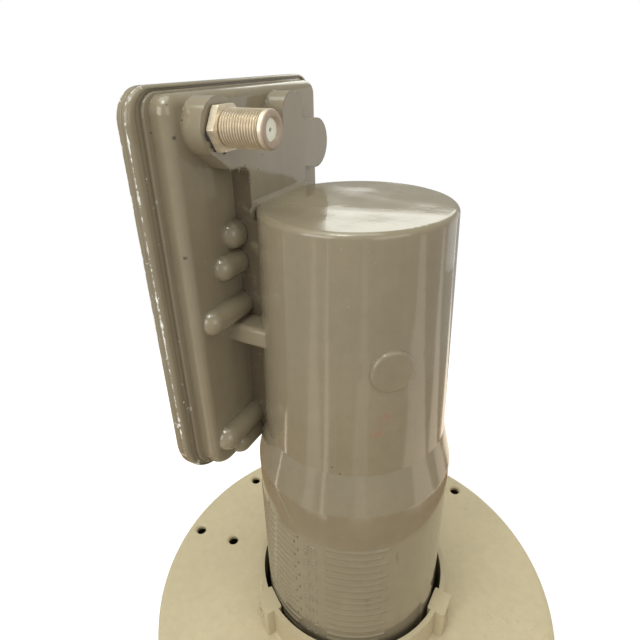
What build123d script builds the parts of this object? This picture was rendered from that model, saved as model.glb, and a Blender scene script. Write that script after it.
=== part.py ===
from build123d import *
import os
from math import cos, radians, sin, sqrt

os.makedirs("parts", exist_ok=True)

# Satellite low-noise block with its scalar ring. Millimetres, Z up along the feed axis.
# The origin is the centre of the ring's open face, which the object stands on.
# The electronics box lies on the -X side and its flat face looks along +X.

# Driving sizes of the feed tube
TOP_Z = 184.2            # flat closed top of the upper barrel
TOP_R = 28.9             # upper barrel at its top
RIM_ROUND = 1.6
CONE_TOP_Z = 109.5       # crease where the barrel starts to flare
CONE_TOP_R = 31.1
CONE_END_Z = 95.4
NECK_R = 34.2            # tube that carries the scale and passes through the ring
MOUTH_Z = 9.5            # open end of the tube
WALL = 3.0
GUIDE_R = NECK_R - WALL                 # round waveguide in the neck
UPPER_GUIDE_R = TOP_R - 2.3             # round waveguide at the closed top
UPPER_GUIDE_LOW_R = CONE_TOP_R - 3.7

# Raised scale on the neck
MARK_PITCH = 3.175
MARK_COUNT = 20
FIRST_MARK_Z = CONE_END_Z - 15.8
MARK_H = 0.3
MARK_W = 1.5
MARK_ARCS = ((-155.0, -98.0, -100.5), (-81.0, -45.5, -49.5))

# Cast pads on the barrel, opposite the probes
PAD_ANGLES = (-46.0, 46.0)
PAD_R = 6.6
PAD_H = 0.55
PAD_ROUND = 0.9

# Scalar ring
RING_R = 81.3
GROOVE_DEPTH = 16.8
PLATE_TOP_Z = 19.0
RING_EDGE_R = 2.2
RING_WALL = 1.8
RING_WALL_COUNT = 4
COLLAR_GAP = 2.4
COLLAR_IN_R = NECK_R + COLLAR_GAP
COLLAR_WALL = 1.8
COLLAR_TOP_Z = PLATE_TOP_Z + 13.5
HOLE_R = 2.15
HOLE_CHAMFER = 0.7
LEG_ANGLE = 68.1         # the hole that the four-leg and the three-leg sets share
FOUR_LEG_R = RING_R - 7.4
THREE_LEG_R = RING_R - 6.2
INNER_HOLE_R = RING_R - 23.6
CLAMP_ANGLES = (-123.0, -3.0, 117.0)
CLAMP_W = 9.5
CLAMP_OUT = 3.0          # how far a clamp boss stands out of the collar
CLAMP_GAP = 0.4
CLAMP_IN_R = NECK_R + MARK_H + CLAMP_GAP    # clear of the raised scale
CLAMP_SCREW_Z = COLLAR_TOP_Z - 5.3
CLAMP_SCREW_R = 2.0
CLAMP_SCREW_L = 6.0
THREAD_GAP = 0.05        # play between a modelled screw and its hole

# Electronics box: planes across X
JOINT_X = -40.3          # plane where the cover meets the tray
RIM_FACE_X = JOINT_X + 2.0
LEDGE_X = JOINT_X + 2.5
FACE_X = JOINT_X + 7.8   # raised flat of the tray
PAD_X = FACE_X + 6.5     # machined flat of the boss group
SETBACK_X = PAD_X - 3.0
TRAY_FLOOR = 2.3
TRAY_WALL = 2.4
FLOOR_X = FACE_X - TRAY_FLOOR

# Electronics box: outline of the rim and of the tray inside it
BOX_RISE = 32.7          # how far the box stands above the barrel
BOX_HEIGHT = 121.2
BOX_TOP_Z = TOP_Z + BOX_RISE
BOX_LOW_Z = BOX_TOP_Z - BOX_HEIGHT
BOX_HALF_Y = 43.7
BOX_CORNER_R = 8.0       # upper corners
BOX_LOW_CORNER_R = 16.0
RIM_SIDE = 6.3
RIM_TOP = 1.9
RIM_LOW = 1.7
TRAY_HALF_Y = BOX_HALF_Y - RIM_SIDE
TRAY_TOP_Z = BOX_TOP_Z - RIM_TOP
TRAY_LOW_Z = BOX_LOW_Z + RIM_LOW
TRAY_CORNER_R = 4.5
TRAY_LOW_CORNER_R = 9.0
TRAY_EDGE_R = 2.8
LEDGE_Y = 2.1            # how far the ledge stands out of the tray at the sides
LEDGE_Z = 0.5
VALLEY_Y = 1.8
VALLEY_Z = 0.6
VALLEY_DEPTH = 0.6

# Boss group on the flat: y, z and radius of each boss
PORT_Y = 17.9 - BOX_HALF_Y
PORT_Z = BOX_TOP_Z - 10.2
PORT_BOSS_R = 7.45
SCREW_BOSS_Y = 9.8
SCREW_BOSS_Z = BOX_TOP_Z - 9.9
SCREW_BOSS_R = 6.1
LOBE_Y = TRAY_HALF_Y - 12.8
LOBE_Z = BOX_TOP_Z - 20.9
LOBE_R = 8.0
WEB_NEAR_Y = -14.9
WEB_FAR_Y = 16.7
WEB_LOW_Z = TOP_Z - 85.3
SETBACK_FAR_Y = LOBE_Y - 0.4
SETBACK_LOW_Z = TOP_Z - 5.5
WEB_REACH = 1.3          # how far the web stands past the machined flat into the barrel
FOOT_R = 1.2             # hollow round where the machined flat rises from the barrel's top

# Ribs on the tray's flat that end in screw bosses:
# inset of the end from the tray's side, depth under the barrel's top, radius
RIBS = (
    (15.6, 8.8, 4.5),
    (10.4, 17.6, 4.1),
    (2.8, 32.0, 4.3),
    (2.6, 75.6, 4.6),
    (9.4, 82.3, 4.2),
)
FAR_RIBS = RIBS[1:]
SCREW_RIBS = RIBS[1:4]
RIB_SINK = 0.4           # depth of a rib axis under the flat
BRIDGE_NEAR_Y = -23.3
BRIDGE_Z = TOP_Z - 39.1
BRIDGE_H = 6.6

# Cover
COVER_T = 2.0
COVER_PAN = 6.0          # how far the cover's middle stands out to the back
COVER_SCREW_Y = TRAY_HALF_Y - 4.0
COVER_SCREW_ZS = (TRAY_LOW_Z + 5.7, TRAY_LOW_Z + 32.1, TRAY_TOP_Z - 35.0, TRAY_TOP_Z - 5.6)
COVER_SCREWS = [(side * COVER_SCREW_Y, z) for side in (-1, 1) for z in COVER_SCREW_ZS]
COVER_SCREW_R = 1.5
COVER_HEAD_R = 2.7
PAN_HALF_Y = COVER_SCREW_Y - COVER_HEAD_R - 1.5
PAN_LOW_Z = BOX_LOW_Z + 14.5
PAN_TOP_Z = BOX_TOP_Z - 14.5
BOARD_SCREW_R = 1.0
SEAL_CORD_W = 1.6
SEAL_CORD_D = 0.9
SEAL_INSET_Y = RIM_SIDE / 2
SEAL_INSET_Z = 2.0
POST_R = 3.0

# F port
SEAL_T = 0.5             # the seal lies under the hexagon
SEAL_R = 5.2
HEX_X = PAD_X + SEAL_T
HEX_AF = 11.0
HEX_T = 2.1
HEX_CROWN_R = 6.2
THREAD_R = 4.76
THREAD_ROOT_R = 4.3
THREAD_START = 0.8
BARREL_END_X = PAD_X + 15.7
BARREL_END_R = 4.1
END_CHAMFER = 0.5
PORT_TAIL_R = 4.3
PORT_HOLE_R = PORT_TAIL_R + THREAD_GAP    # plain hole through the boss for the port's tail
PORT_TAIL_X = FLOOR_X + 0.6
INSULATOR_R = 2.75
INSULATOR_X = BARREL_END_X - 1.3
CONTACT_R = 1.1
CONTACT_TAIL_R = 0.6
CONTACT_HOLE_R = 0.5

# Board
BOARD_T = 1.0
BOARD_X = FLOOR_X - BOARD_T
BOARD_MARGIN = 0.5
CAN_Z = TRAY_TOP_Z - 47.0
CAN_W = 30.0
CAN_L = 36.0
CAN_H = 6.0
CAPACITOR_R = 2.5
CAPACITOR_H = 5.4
CAPACITOR_PITCH = 8.0
SUPPLY_Z = TRAY_TOP_Z - 19.0     # row of the capacitors and the regulator
REGULATOR_Y = 16.5
CHIP_ROW_ZS = (BRIDGE_Z - 13.1, TRAY_LOW_Z + 14.1)
CHIP_ROW_Y = 12.0
CHIP_PITCH = 6.0
PORT_ROW_Z = TRAY_TOP_Z - 11.0
RESONATOR_Z = (CHIP_ROW_ZS[0] + CHIP_ROW_ZS[1]) / 2
RESONATOR_R = 5.3
RESONATOR_H = 5.0

# Probes and feed window
PROBE_R = 0.8
SLEEVE_R = 1.9
SLEEVE_SHORT = 1.9       # how far a sleeve ends short of the guide's wall
PROBE_Y = 19.1
PROBE_REACH = 9.5        # distance of a probe's tip from the feed axis
WINDOW_Z = MOUTH_Z - 1.5
WINDOW_PLUG_R = GUIDE_R - 0.1
WINDOW_PLUG_L = 6.0
WINDOW_SEAL_T = 0.8
WINDOW_SEAL_R = WINDOW_PLUG_R - 0.75
WINDOW_SEAL_Z = MOUTH_Z + 2.9


def at(x):
    """Sketch plane across X: its x is the object's Y, its y is the object's Z."""
    return Plane(origin=(x, 0, 0), x_dir=(0, 1, 0), z_dir=(1, 0, 0))


def slab(sketch, x_from, x_to):
    return extrude(at(x_from) * sketch, amount=x_to - x_from)


def rounded(half_y, low_z, top_z, radius, low_radius=None):
    """Upright rectangle with its own radius for the two lower corners."""
    shape = Pos(0, (low_z + top_z) / 2) * Rectangle(2 * half_y, top_z - low_z)
    shape = fillet(shape.vertices().group_by(Axis.Y)[-1], radius)
    return fillet(shape.vertices().group_by(Axis.Y)[0], low_radius or radius)


def rod(x_from, x_to, y, z, radius):
    return slab(Pos(y, z) * Circle(radius), x_from, x_to)


def radial(angle, z):
    """Plane with its normal along a horizontal radius."""
    a = radians(angle)
    return Plane(origin=(0, 0, z), x_dir=(-sin(a), cos(a), 0), z_dir=(cos(a), sin(a), 0))


def turned(points):
    outline = make_face(Plane.XZ * Polyline(*[(r, z) for r, z in points], close=True))
    return revolve(outline, Axis.Z)


def round_corner(sketch, y, z, radius):
    """Round the corner of a sketch that lies nearest to a point."""
    return fillet(sketch.vertices().sort_by_distance((y, z, 0))[0], radius)


def barrel_r(z):
    """Outside radius of the upper barrel at a height."""
    return TOP_R + (CONE_TOP_R - TOP_R) * (TOP_Z - z) / (TOP_Z - CONE_TOP_Z)


def guide_x(z, y):
    """X of the guide's wall on the box's side, at a height in the upper barrel."""
    radius = UPPER_GUIDE_R + (UPPER_GUIDE_LOW_R - UPPER_GUIDE_R) * (TOP_Z - z) / (TOP_Z - CONE_TOP_Z)
    return -sqrt(radius ** 2 - y ** 2)


def tube_outside():
    outline = make_face(Polyline((0, TOP_Z), (TOP_R, TOP_Z), (CONE_TOP_R, CONE_TOP_Z),
                                 (NECK_R, CONE_END_Z), (NECK_R, MOUTH_Z), (0, MOUTH_Z), close=True))
    rim = outline.vertices().sort_by_distance((TOP_R, TOP_Z))[0]
    outline = fillet(rim, RIM_ROUND)
    crease = outline.vertices().sort_by_distance((CONE_TOP_R, CONE_TOP_Z))[0]
    outline = fillet(crease, 2)
    lip = outline.vertices().sort_by_distance((NECK_R, CONE_END_Z))[0]
    outline = fillet(lip, 4)
    return revolve(Plane.XZ * outline, Axis.Z)


def tube_inside():
    return turned([(0, TOP_Z - WALL), (UPPER_GUIDE_R, TOP_Z - WALL),
                   (UPPER_GUIDE_LOW_R, CONE_TOP_Z), (GUIDE_R, CONE_END_Z),
                   (GUIDE_R, MOUTH_Z - 1), (0, MOUTH_Z - 1)])


def scale_marks():
    """Raised arcs round the neck; every second one is longer."""
    section = make_face(Plane.XZ * (Polyline((0, MARK_W / 2), (-MARK_H, MARK_W / 2), (-MARK_H, -MARK_W / 2),
                                             (0, -MARK_W / 2))
                                    + ThreePointArc((0, MARK_W / 2), (MARK_H, 0), (0, -MARK_W / 2))))
    marks = []
    for i in range(MARK_COUNT):
        z = FIRST_MARK_Z - i * MARK_PITCH
        for start, long_end, short_end in MARK_ARCS:
            end = long_end if i % 2 == 0 else short_end
            arc = revolve(Pos(NECK_R, 0, z) * section, Axis.Z, revolution_arc=end - start)
            marks.append(Rot(0, 0, start) * arc)
    return marks


def barrel_pads():
    """Shallow round pads, flat on top and square to their own radius."""
    pads = []
    for angle in PAD_ANGLES:
        top = radial(angle, BRIDGE_Z).offset(barrel_r(BRIDGE_Z) + PAD_H)
        disc = extrude(top * Circle(PAD_R), amount=-2 * PAD_H - 1.5)
        rim = disc.edges().filter_by(GeomType.CIRCLE).sort_by_distance(top.origin)[0]
        pads.append(fillet(rim, PAD_ROUND))
    return pads


def box_outline(inset_y, inset_z, radius_cut):
    """Outline of the box's rim, or one that lies inside it by the given amounts."""
    return rounded(BOX_HALF_Y - inset_y, BOX_LOW_Z + inset_z, BOX_TOP_Z - inset_z,
                   BOX_CORNER_R - radius_cut, BOX_LOW_CORNER_R - radius_cut)


def tray_outline(out_y, out_z, radius_add, low_radius_add):
    """Outline of the raised tray, or one that lies outside it by the given amounts."""
    return rounded(TRAY_HALF_Y + out_y, TRAY_LOW_Z - out_z, TRAY_TOP_Z + out_z,
                   TRAY_CORNER_R + radius_add, TRAY_LOW_CORNER_R + low_radius_add)


def tray_outside():
    flange = slab(box_outline(0, 0, 0), JOINT_X, RIM_FACE_X)
    flange = fillet(flange.faces().sort_by(Axis.X)[-1].edges(), 1.1)
    valley = tray_outline(LEDGE_Y + VALLEY_Y, LEDGE_Z + VALLEY_Z, 1.8, 3.5)
    flange -= slab(valley, RIM_FACE_X - VALLEY_DEPTH, RIM_FACE_X + 1)
    ledge = slab(tray_outline(LEDGE_Y, LEDGE_Z, 0.9, 2.0), JOINT_X, LEDGE_X)
    ledge = fillet(ledge.faces().sort_by(Axis.X)[-1].edges(), 0.45)
    raised = slab(tray_outline(0, 0, 0, 0), JOINT_X, FACE_X)
    raised = fillet(raised.faces().sort_by(Axis.X)[-1].edges(), TRAY_EDGE_R)
    return flange + ledge + raised


def boss_outline():
    """Outline of the machined flat: port boss, screw boss, far lobe and the web to the barrel."""
    screw_near = SCREW_BOSS_Y - SCREW_BOSS_R
    screw_far = SCREW_BOSS_Y + SCREW_BOSS_R
    foot_z = TOP_Z + 11.1
    top_z = LOBE_Z + LOBE_R
    low_z = SETBACK_LOW_Z - 0.5
    shape = Polygon((PORT_Y - 3.0, PORT_Z - 6.8), (PORT_Y + 2.5, foot_z + 0.5), (WEB_NEAR_Y, foot_z),
                    (WEB_NEAR_Y, low_z), (WEB_FAR_Y, low_z), (WEB_FAR_Y, LOBE_Z - LOBE_R + 1.5),
                    (LOBE_Y, LOBE_Z - LOBE_R), (LOBE_Y, top_z), (screw_far, top_z),
                    (screw_far, SCREW_BOSS_Z), (screw_near, SCREW_BOSS_Z), (screw_near, top_z - 0.8),
                    (PORT_Y + 7.4, top_z - 0.8),
                    (PORT_Y + 6.0, PORT_Z + 3), align=None)
    shape += Pos(PORT_Y, PORT_Z) * Circle(PORT_BOSS_R)
    shape += Pos(SCREW_BOSS_Y, SCREW_BOSS_Z) * Circle(SCREW_BOSS_R)
    shape += Pos(LOBE_Y, LOBE_Z) * Circle(LOBE_R)
    shape = round_corner(shape, WEB_NEAR_Y, foot_z, 3.0)
    shape = round_corner(shape, screw_far, top_z, 1.8)
    return shape


def setback_outline():
    """Lower step of the boss group on the far side, blended into the lobe."""
    shape = Pos((WEB_FAR_Y + SETBACK_FAR_Y) / 2 - 1, (SETBACK_LOW_Z + LOBE_Z) / 2) * Rectangle(
        SETBACK_FAR_Y - WEB_FAR_Y + 2, LOBE_Z - SETBACK_LOW_Z)
    shape += Pos(LOBE_Y, LOBE_Z) * Circle(LOBE_R - 0.01)
    return round_corner(shape, SETBACK_FAR_Y, LOBE_Z - LOBE_R, 4.0)


def boss_group():
    return slab(boss_outline(), FLOOR_X + 0.5, PAD_X)


def web():
    """Solid wall between the box and the barrel, as wide as the boss group's foot."""
    wall = slab(Pos((WEB_NEAR_Y + WEB_FAR_Y) / 2, (WEB_LOW_Z + TOP_Z) / 2)
                * Rectangle(WEB_FAR_Y - WEB_NEAR_Y, TOP_Z - WEB_LOW_Z), FLOOR_X + 0.5, PAD_X + WEB_REACH)
    return wall + slab(setback_outline(), FLOOR_X + 0.5, SETBACK_X)


def flat_foot():
    """Hollow round between the machined flat and the web's top, in line with the barrel's top."""
    middle = (WEB_NEAR_Y + WEB_FAR_Y) / 2
    width = WEB_FAR_Y - WEB_NEAR_Y
    bar = Pos(PAD_X, middle, TOP_Z) * Box(2 * FOOT_R, width, 2 * FOOT_R)
    return bar - Pos(PAD_X + FOOT_R, middle, TOP_Z + FOOT_R) * Rot(90, 0, 0) * Cylinder(FOOT_R, width + 2)


def rib_end(inset):
    """Distance of a rib's end from the middle plane."""
    return TRAY_HALF_Y - inset


def rib(inset, depth, radius, side):
    """Half-round rib from the web to a ball-shaped end; side is -1 near and +1 far."""
    middle = rib_end(inset) - radius
    length = middle - 5.0
    outline = make_face(CenterArc((0, 0), radius, 90, 90)
                        + Polyline((-radius, 0), (length, 0), (length, radius), (0, radius)))
    bar = revolve(outline, Axis.X)
    return Pos(FACE_X - RIB_SINK, side * middle, TOP_Z - depth) * Rot(0, 0, -side * 90) * bar


def bridges():
    """Bars that carry the probe leads from the box to the barrel."""
    bars = []
    for side in (-1, 1):
        bar = Pos(-26, side * (abs(BRIDGE_NEAR_Y) + 8) / 2, BRIDGE_Z) * Box(
            14, abs(BRIDGE_NEAR_Y) - 8, BRIDGE_H)
        outer = bar.faces().sort_by(Axis.Y)[0 if side < 0 else -1]
        bars.append(fillet(outer.edges().filter_by(Axis.X), 1.5))
    return bars


def box_outside():
    body = tray_outside()
    body += boss_group()
    body += web()
    body += [rib(inset, depth, radius, -1) for inset, depth, radius in RIBS]
    body += [rib(inset, depth, radius, 1) for inset, depth, radius in FAR_RIBS]
    body += bridges()
    return body


def main_housing():
    body = tube_outside()
    body += barrel_pads()
    body += scale_marks()
    body += box_outside()
    body += flat_foot()
    body -= tube_inside()
    cavity = tray_outline(-TRAY_WALL, -TRAY_WALL, -TRAY_WALL, -TRAY_WALL)
    body -= slab(cavity, JOINT_X - 1, FLOOR_X)
    body += [rod(JOINT_X, FLOOR_X + 0.5, y, z, POST_R) for y, z in COVER_SCREWS]
    body -= [rod(JOINT_X - 1, FLOOR_X, y, z, COVER_SCREW_R + THREAD_GAP) for y, z in COVER_SCREWS]
    body -= seal_path(SEAL_CORD_W + 0.1, JOINT_X - 1, JOINT_X + SEAL_CORD_D)
    body -= [rod(FLOOR_X - 1, FLOOR_X + 4.0, y, z, BOARD_SCREW_R + THREAD_GAP)
             for y, z in board_screw_points()]
    body -= rod(FLOOR_X - 1, PAD_X + 1, PORT_Y, PORT_Z, PORT_HOLE_R)
    body -= [rod(FLOOR_X - 1, sleeve_end_x() + 5, side * PROBE_Y, BRIDGE_Z, SLEEVE_R + THREAD_GAP)
             for side in (-1, 1)]
    return body


def board_screw_points():
    """Centres of the ball-shaped rib ends, which hold the board's screws."""
    points = []
    for inset, depth, radius in SCREW_RIBS:
        y = rib_end(inset) - radius
        points += [(-y, TOP_Z - depth), (y, TOP_Z - depth)]
    return points


def collar_boss(angle):
    block = Box(COLLAR_IN_R + COLLAR_WALL + CLAMP_OUT - CLAMP_IN_R, CLAMP_W, COLLAR_TOP_Z - PLATE_TOP_Z + 1,
                align=(Align.MIN, Align.CENTER, Align.MIN))
    block = fillet(block.edges().filter_by(Axis.Z), 0.6)
    return Rot(0, 0, angle) * Pos(CLAMP_IN_R, 0, PLATE_TOP_Z - 1) * block


def ring_holes():
    """Countersunk holes for the legs that carry the feed: four-leg, three-leg and inner sets."""
    spots = [(FOUR_LEG_R, LEG_ANGLE + 90 * i) for i in range(4)]
    spots += [(THREE_LEG_R, LEG_ANGLE + 120 * i) for i in (1, 2)]
    spots += [(INNER_HOLE_R, LEG_ANGLE + 120 * i) for i in range(3)]
    cutter = turned([(0, -4), (HOLE_R, -4), (HOLE_R, -HOLE_CHAMFER),
                     (HOLE_R + HOLE_CHAMFER + 0.1, 0.1), (0, 0.1)])
    return [Rot(0, 0, angle) * Pos(r, 0, PLATE_TOP_Z) * cutter for r, angle in spots]


def scalar_ring():
    bore = COLLAR_IN_R
    collar_out = COLLAR_IN_R + COLLAR_WALL
    pitch = (RING_R - collar_out) / (RING_WALL_COUNT - 1)
    outline = make_face(Plane.XZ * Polyline(
        (bore, 0), (RING_R, 0), (RING_R, PLATE_TOP_Z), (collar_out, PLATE_TOP_Z),
        (collar_out, COLLAR_TOP_Z), (bore, COLLAR_TOP_Z), close=True))
    body = revolve(outline, Axis.Z)
    edge = body.edges().filter_by(GeomType.CIRCLE).sort_by_distance((RING_R, 0, PLATE_TOP_Z))[0]
    body = fillet(edge, RING_EDGE_R)
    foot = [e for e in body.edges().filter_by(GeomType.CIRCLE)
            if abs(e.center().Z - PLATE_TOP_Z) < 0.01 and abs(e.radius - collar_out) < 0.01]
    body = fillet(foot, 1.2)
    for i in range(RING_WALL_COUNT - 1):
        inner = collar_out + i * pitch
        outer = collar_out + (i + 1) * pitch - RING_WALL
        body -= turned([(inner, -1), (outer, -1), (outer - 0.3, GROOVE_DEPTH),
                        (inner + 0.3, GROOVE_DEPTH)])
    body += [collar_boss(angle) for angle in CLAMP_ANGLES]
    body -= ring_holes()
    hole_l = COLLAR_IN_R + COLLAR_WALL + CLAMP_OUT + 1 - CLAMP_IN_R + 1
    body -= [extrude(radial(angle, CLAMP_SCREW_Z).offset(CLAMP_IN_R - 1)
                     * Circle(CLAMP_SCREW_R + THREAD_GAP), amount=hole_l) for angle in CLAMP_ANGLES]
    return body


def clamp_screw(angle):
    """Grub screw with a hexagon socket in its outer end."""
    plane = radial(angle, CLAMP_SCREW_Z)
    tip = CLAMP_IN_R
    screw = extrude(plane.offset(tip) * Circle(CLAMP_SCREW_R), amount=CLAMP_SCREW_L)
    screw = chamfer(screw.edges().filter_by(GeomType.CIRCLE), 0.35)
    socket = extrude(plane.offset(tip + CLAMP_SCREW_L - 2.0) * RegularPolygon(1.15, 6), amount=3)
    return screw - socket


def feed_window():
    flange_r = NECK_R - 0.6
    plug_top = MOUTH_Z + WINDOW_PLUG_L
    plug_in_r = WINDOW_PLUG_R - 2.6
    body = turned([(0, WINDOW_Z), (flange_r, WINDOW_Z), (flange_r, MOUTH_Z), (WINDOW_PLUG_R, MOUTH_Z),
                   (WINDOW_PLUG_R, plug_top), (plug_in_r, plug_top), (plug_in_r, MOUTH_Z), (0, MOUTH_Z)])
    groove_r = WINDOW_SEAL_R - WINDOW_SEAL_T - THREAD_GAP
    half = WINDOW_SEAL_T + 0.1
    return body - turned([(groove_r, WINDOW_SEAL_Z - half), (WINDOW_PLUG_R + 1, WINDOW_SEAL_Z - half),
                          (WINDOW_PLUG_R + 1, WINDOW_SEAL_Z + half), (groove_r, WINDOW_SEAL_Z + half)])


def window_seal():
    return Pos(0, 0, WINDOW_SEAL_Z) * Torus(WINDOW_SEAL_R, WINDOW_SEAL_T)


def box_cover():
    plate = slab(box_outline(0, 0, 0), JOINT_X - COVER_T, JOINT_X)
    plate = fillet(plate.faces().sort_by(Axis.X)[0].edges(), 0.5)
    pan = extrude(at(JOINT_X - COVER_T + 0.5) * rounded(PAN_HALF_Y, PAN_LOW_Z, PAN_TOP_Z, 6),
                  amount=-COVER_PAN - 0.5, taper=12)
    pan = fillet(pan.faces().sort_by(Axis.X)[0].edges(), 1.5)
    hollow = extrude(at(JOINT_X + 1) * rounded(PAN_HALF_Y - COVER_T, PAN_LOW_Z + COVER_T,
                                               PAN_TOP_Z - COVER_T, 4.5),
                     amount=-COVER_PAN - 1, taper=12)
    cover = plate + pan - hollow
    cover -= [rod(JOINT_X - COVER_T - 1, JOINT_X + 1, y, z, COVER_SCREW_R + 0.2)
              for y, z in COVER_SCREWS]
    return cover


def cover_seal():
    """Cord that lies in the groove round the tray's joint face."""
    return seal_path(SEAL_CORD_W, JOINT_X, JOINT_X + SEAL_CORD_D - 0.1)


def seal_path(width, x_from, x_to):
    """Loop round the joint face that follows the rim's outline."""
    w = width / 2
    cut = (SEAL_INSET_Y + SEAL_INSET_Z) / 2
    outer = box_outline(SEAL_INSET_Y - w, SEAL_INSET_Z - w, cut - w)
    inner = box_outline(SEAL_INSET_Y + w, SEAL_INSET_Z + w, cut + w)
    return slab(outer, x_from, x_to) - slab(inner, x_from - 1, x_to + 1)


def pan_screw(y, z, head_x, end_x, radius, head_r, head_h):
    """Screw along X with a domed head toward the back and a cross recess."""
    dome = slab(Pos(y, z) * Circle(head_r), head_x - head_h, head_x)
    dome = fillet(dome.faces().sort_by(Axis.X)[0].edges(), head_h * 0.6)
    screw = dome + rod(head_x - 0.2, end_x, y, z, radius)
    slot = head_r * 1.1
    cross = Rectangle(slot, head_r * 0.22) + Rectangle(head_r * 0.22, slot)
    return screw - slab(Pos(y, z) * cross, head_x - head_h - 1, head_x - head_h * 0.45)


def cover_screws():
    return [pan_screw(y, z, JOINT_X - COVER_T, JOINT_X + 4.5, COVER_SCREW_R, COVER_HEAD_R, 1.8)
            for y, z in COVER_SCREWS]


def board_screws():
    return [pan_screw(y, z, BOARD_X, FLOOR_X + 3.4, BOARD_SCREW_R, 2.2, 1.4)
            for y, z in board_screw_points()]


def circuit_board():
    inset = TRAY_WALL + BOARD_MARGIN
    board = slab(tray_outline(-inset, -inset, -TRAY_WALL, -inset), BOARD_X, FLOOR_X)
    board -= [rod(BOARD_X - 1, FLOOR_X + 1, y, z, POST_R + BOARD_MARGIN) for y, z in COVER_SCREWS]
    board -= [rod(BOARD_X - 1, FLOOR_X + 1, y, z, BOARD_SCREW_R + 0.15) for y, z in board_screw_points()]
    board -= [rod(BOARD_X - 1, FLOOR_X + 1, side * PROBE_Y, BRIDGE_Z, PROBE_R + THREAD_GAP)
              for side in (-1, 1)]
    board -= rod(BOARD_X - 1, FLOOR_X + 1, PORT_Y, PORT_Z, CONTACT_TAIL_R + THREAD_GAP)
    return board


def on_board(y, z, wide, tall, height):
    """Block standing on the board's back face."""
    return Pos(BOARD_X - height / 2, y, z) * Box(height, wide, tall)


def shield_can():
    outer = on_board(0, CAN_Z, CAN_W, CAN_L, CAN_H)
    outer = fillet(outer.edges().filter_by(Axis.X), 1.5)
    inner = on_board(0, CAN_Z, CAN_W - 0.8, CAN_L - 0.8, CAN_H - 0.4)
    return outer - inner


def transistors():
    """Two low-noise transistors beside each probe."""
    spots = [(PROBE_Y - 4.6, BRIDGE_Z), (PROBE_Y, BRIDGE_Z + 7.5)]
    return [on_board(side * y, z, 2.4, 2.4, 1.1) for side in (-1, 1) for y, z in spots]


def capacitors():
    cans = [rod(BOARD_X - CAPACITOR_H, BOARD_X, -4.0 + i * CAPACITOR_PITCH, SUPPLY_Z, CAPACITOR_R)
            for i in (-1, 0, 1)]
    return [fillet(can.faces().sort_by(Axis.X)[0].edges(), 0.4) for can in cans]


def voltage_regulator():
    return on_board(REGULATOR_Y, SUPPLY_Z + 0.5, 6.5, 6.1, 2.3)


def chips():
    """Small parts: two rows on the board's lower half and one row by the port."""
    row = [on_board(side * (CHIP_ROW_Y + CHIP_PITCH * i), z, 2.0, 1.25, 0.6)
           for z in CHIP_ROW_ZS for side in (-1, 1) for i in range(3)]
    row += [on_board(CHIP_PITCH * (i - 2), PORT_ROW_Z, 1.6, 0.9, 0.5) for i in range(6)]
    return row


def resonator():
    return (rod(BOARD_X - RESONATOR_H, BOARD_X, 0, RESONATOR_Z, RESONATOR_R)
            - rod(BOARD_X - RESONATOR_H - 1, BOARD_X + 1, 0, RESONATOR_Z, 1.2))


def probe(side):
    """Wire from the board through the bridge, bent toward the feed axis."""
    tip = PROBE_REACH / sqrt(2)
    path = FilletPolyline((BOARD_X - 0.8, side * PROBE_Y, BRIDGE_Z), (-PROBE_Y, side * PROBE_Y, BRIDGE_Z),
                          (-tip, side * tip, BRIDGE_Z), radius=3)
    profile = Plane(origin=path @ 0, z_dir=path % 0) * Circle(PROBE_R)
    return sweep(profile, path=path)


def sleeve_end_x():
    return guide_x(BRIDGE_Z, PROBE_Y) - SLEEVE_SHORT


def probe_sleeve(side):
    return (rod(FLOOR_X, sleeve_end_x(), side * PROBE_Y, BRIDGE_Z, SLEEVE_R)
            - rod(FLOOR_X - 1, sleeve_end_x() + 1, side * PROBE_Y, BRIDGE_Z, PROBE_R + THREAD_GAP))


def port_turned(points):
    """Solid of revolution about the port axis from points of x and radius."""
    outline = make_face(Plane.XY * Polyline(*points, close=True))
    return Pos(0, PORT_Y, PORT_Z) * revolve(outline, Axis.X)


def connector_body():
    front = HEX_X + HEX_T
    hexagon = slab(Pos(PORT_Y, PORT_Z) * RegularPolygon(HEX_AF / sqrt(3), 6), HEX_X, front)
    rounder = port_turned([(HEX_X - 1, 0), (HEX_X - 1, HEX_AF), (HEX_X, HEX_AF), (front, HEX_CROWN_R),
                           (front, 0)])
    hexagon = hexagon & rounder
    barrel = port_turned([(PORT_TAIL_X, 0), (PORT_TAIL_X, PORT_TAIL_R), (HEX_X + 0.2, PORT_TAIL_R),
                          (front - 0.1, THREAD_ROOT_R), (front + THREAD_START, THREAD_ROOT_R),
                          (front + THREAD_START + 0.3, THREAD_R), (BARREL_END_X - END_CHAMFER, THREAD_R),
                          (BARREL_END_X, BARREL_END_R), (BARREL_END_X, 0)])
    bore = port_turned([(PORT_TAIL_X - 1, 0), (PORT_TAIL_X - 1, INSULATOR_R + 0.05),
                        (BARREL_END_X + 1, INSULATOR_R + 0.05), (BARREL_END_X + 1, 0)])
    return hexagon + barrel - bore


def connector_insulator():
    return port_turned([(PORT_TAIL_X, CONTACT_R + 0.05), (PORT_TAIL_X, INSULATOR_R),
                        (INSULATOR_X, INSULATOR_R), (INSULATOR_X, CONTACT_HOLE_R + 0.15),
                        (INSULATOR_X - 0.8, CONTACT_R + 0.05)])


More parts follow.
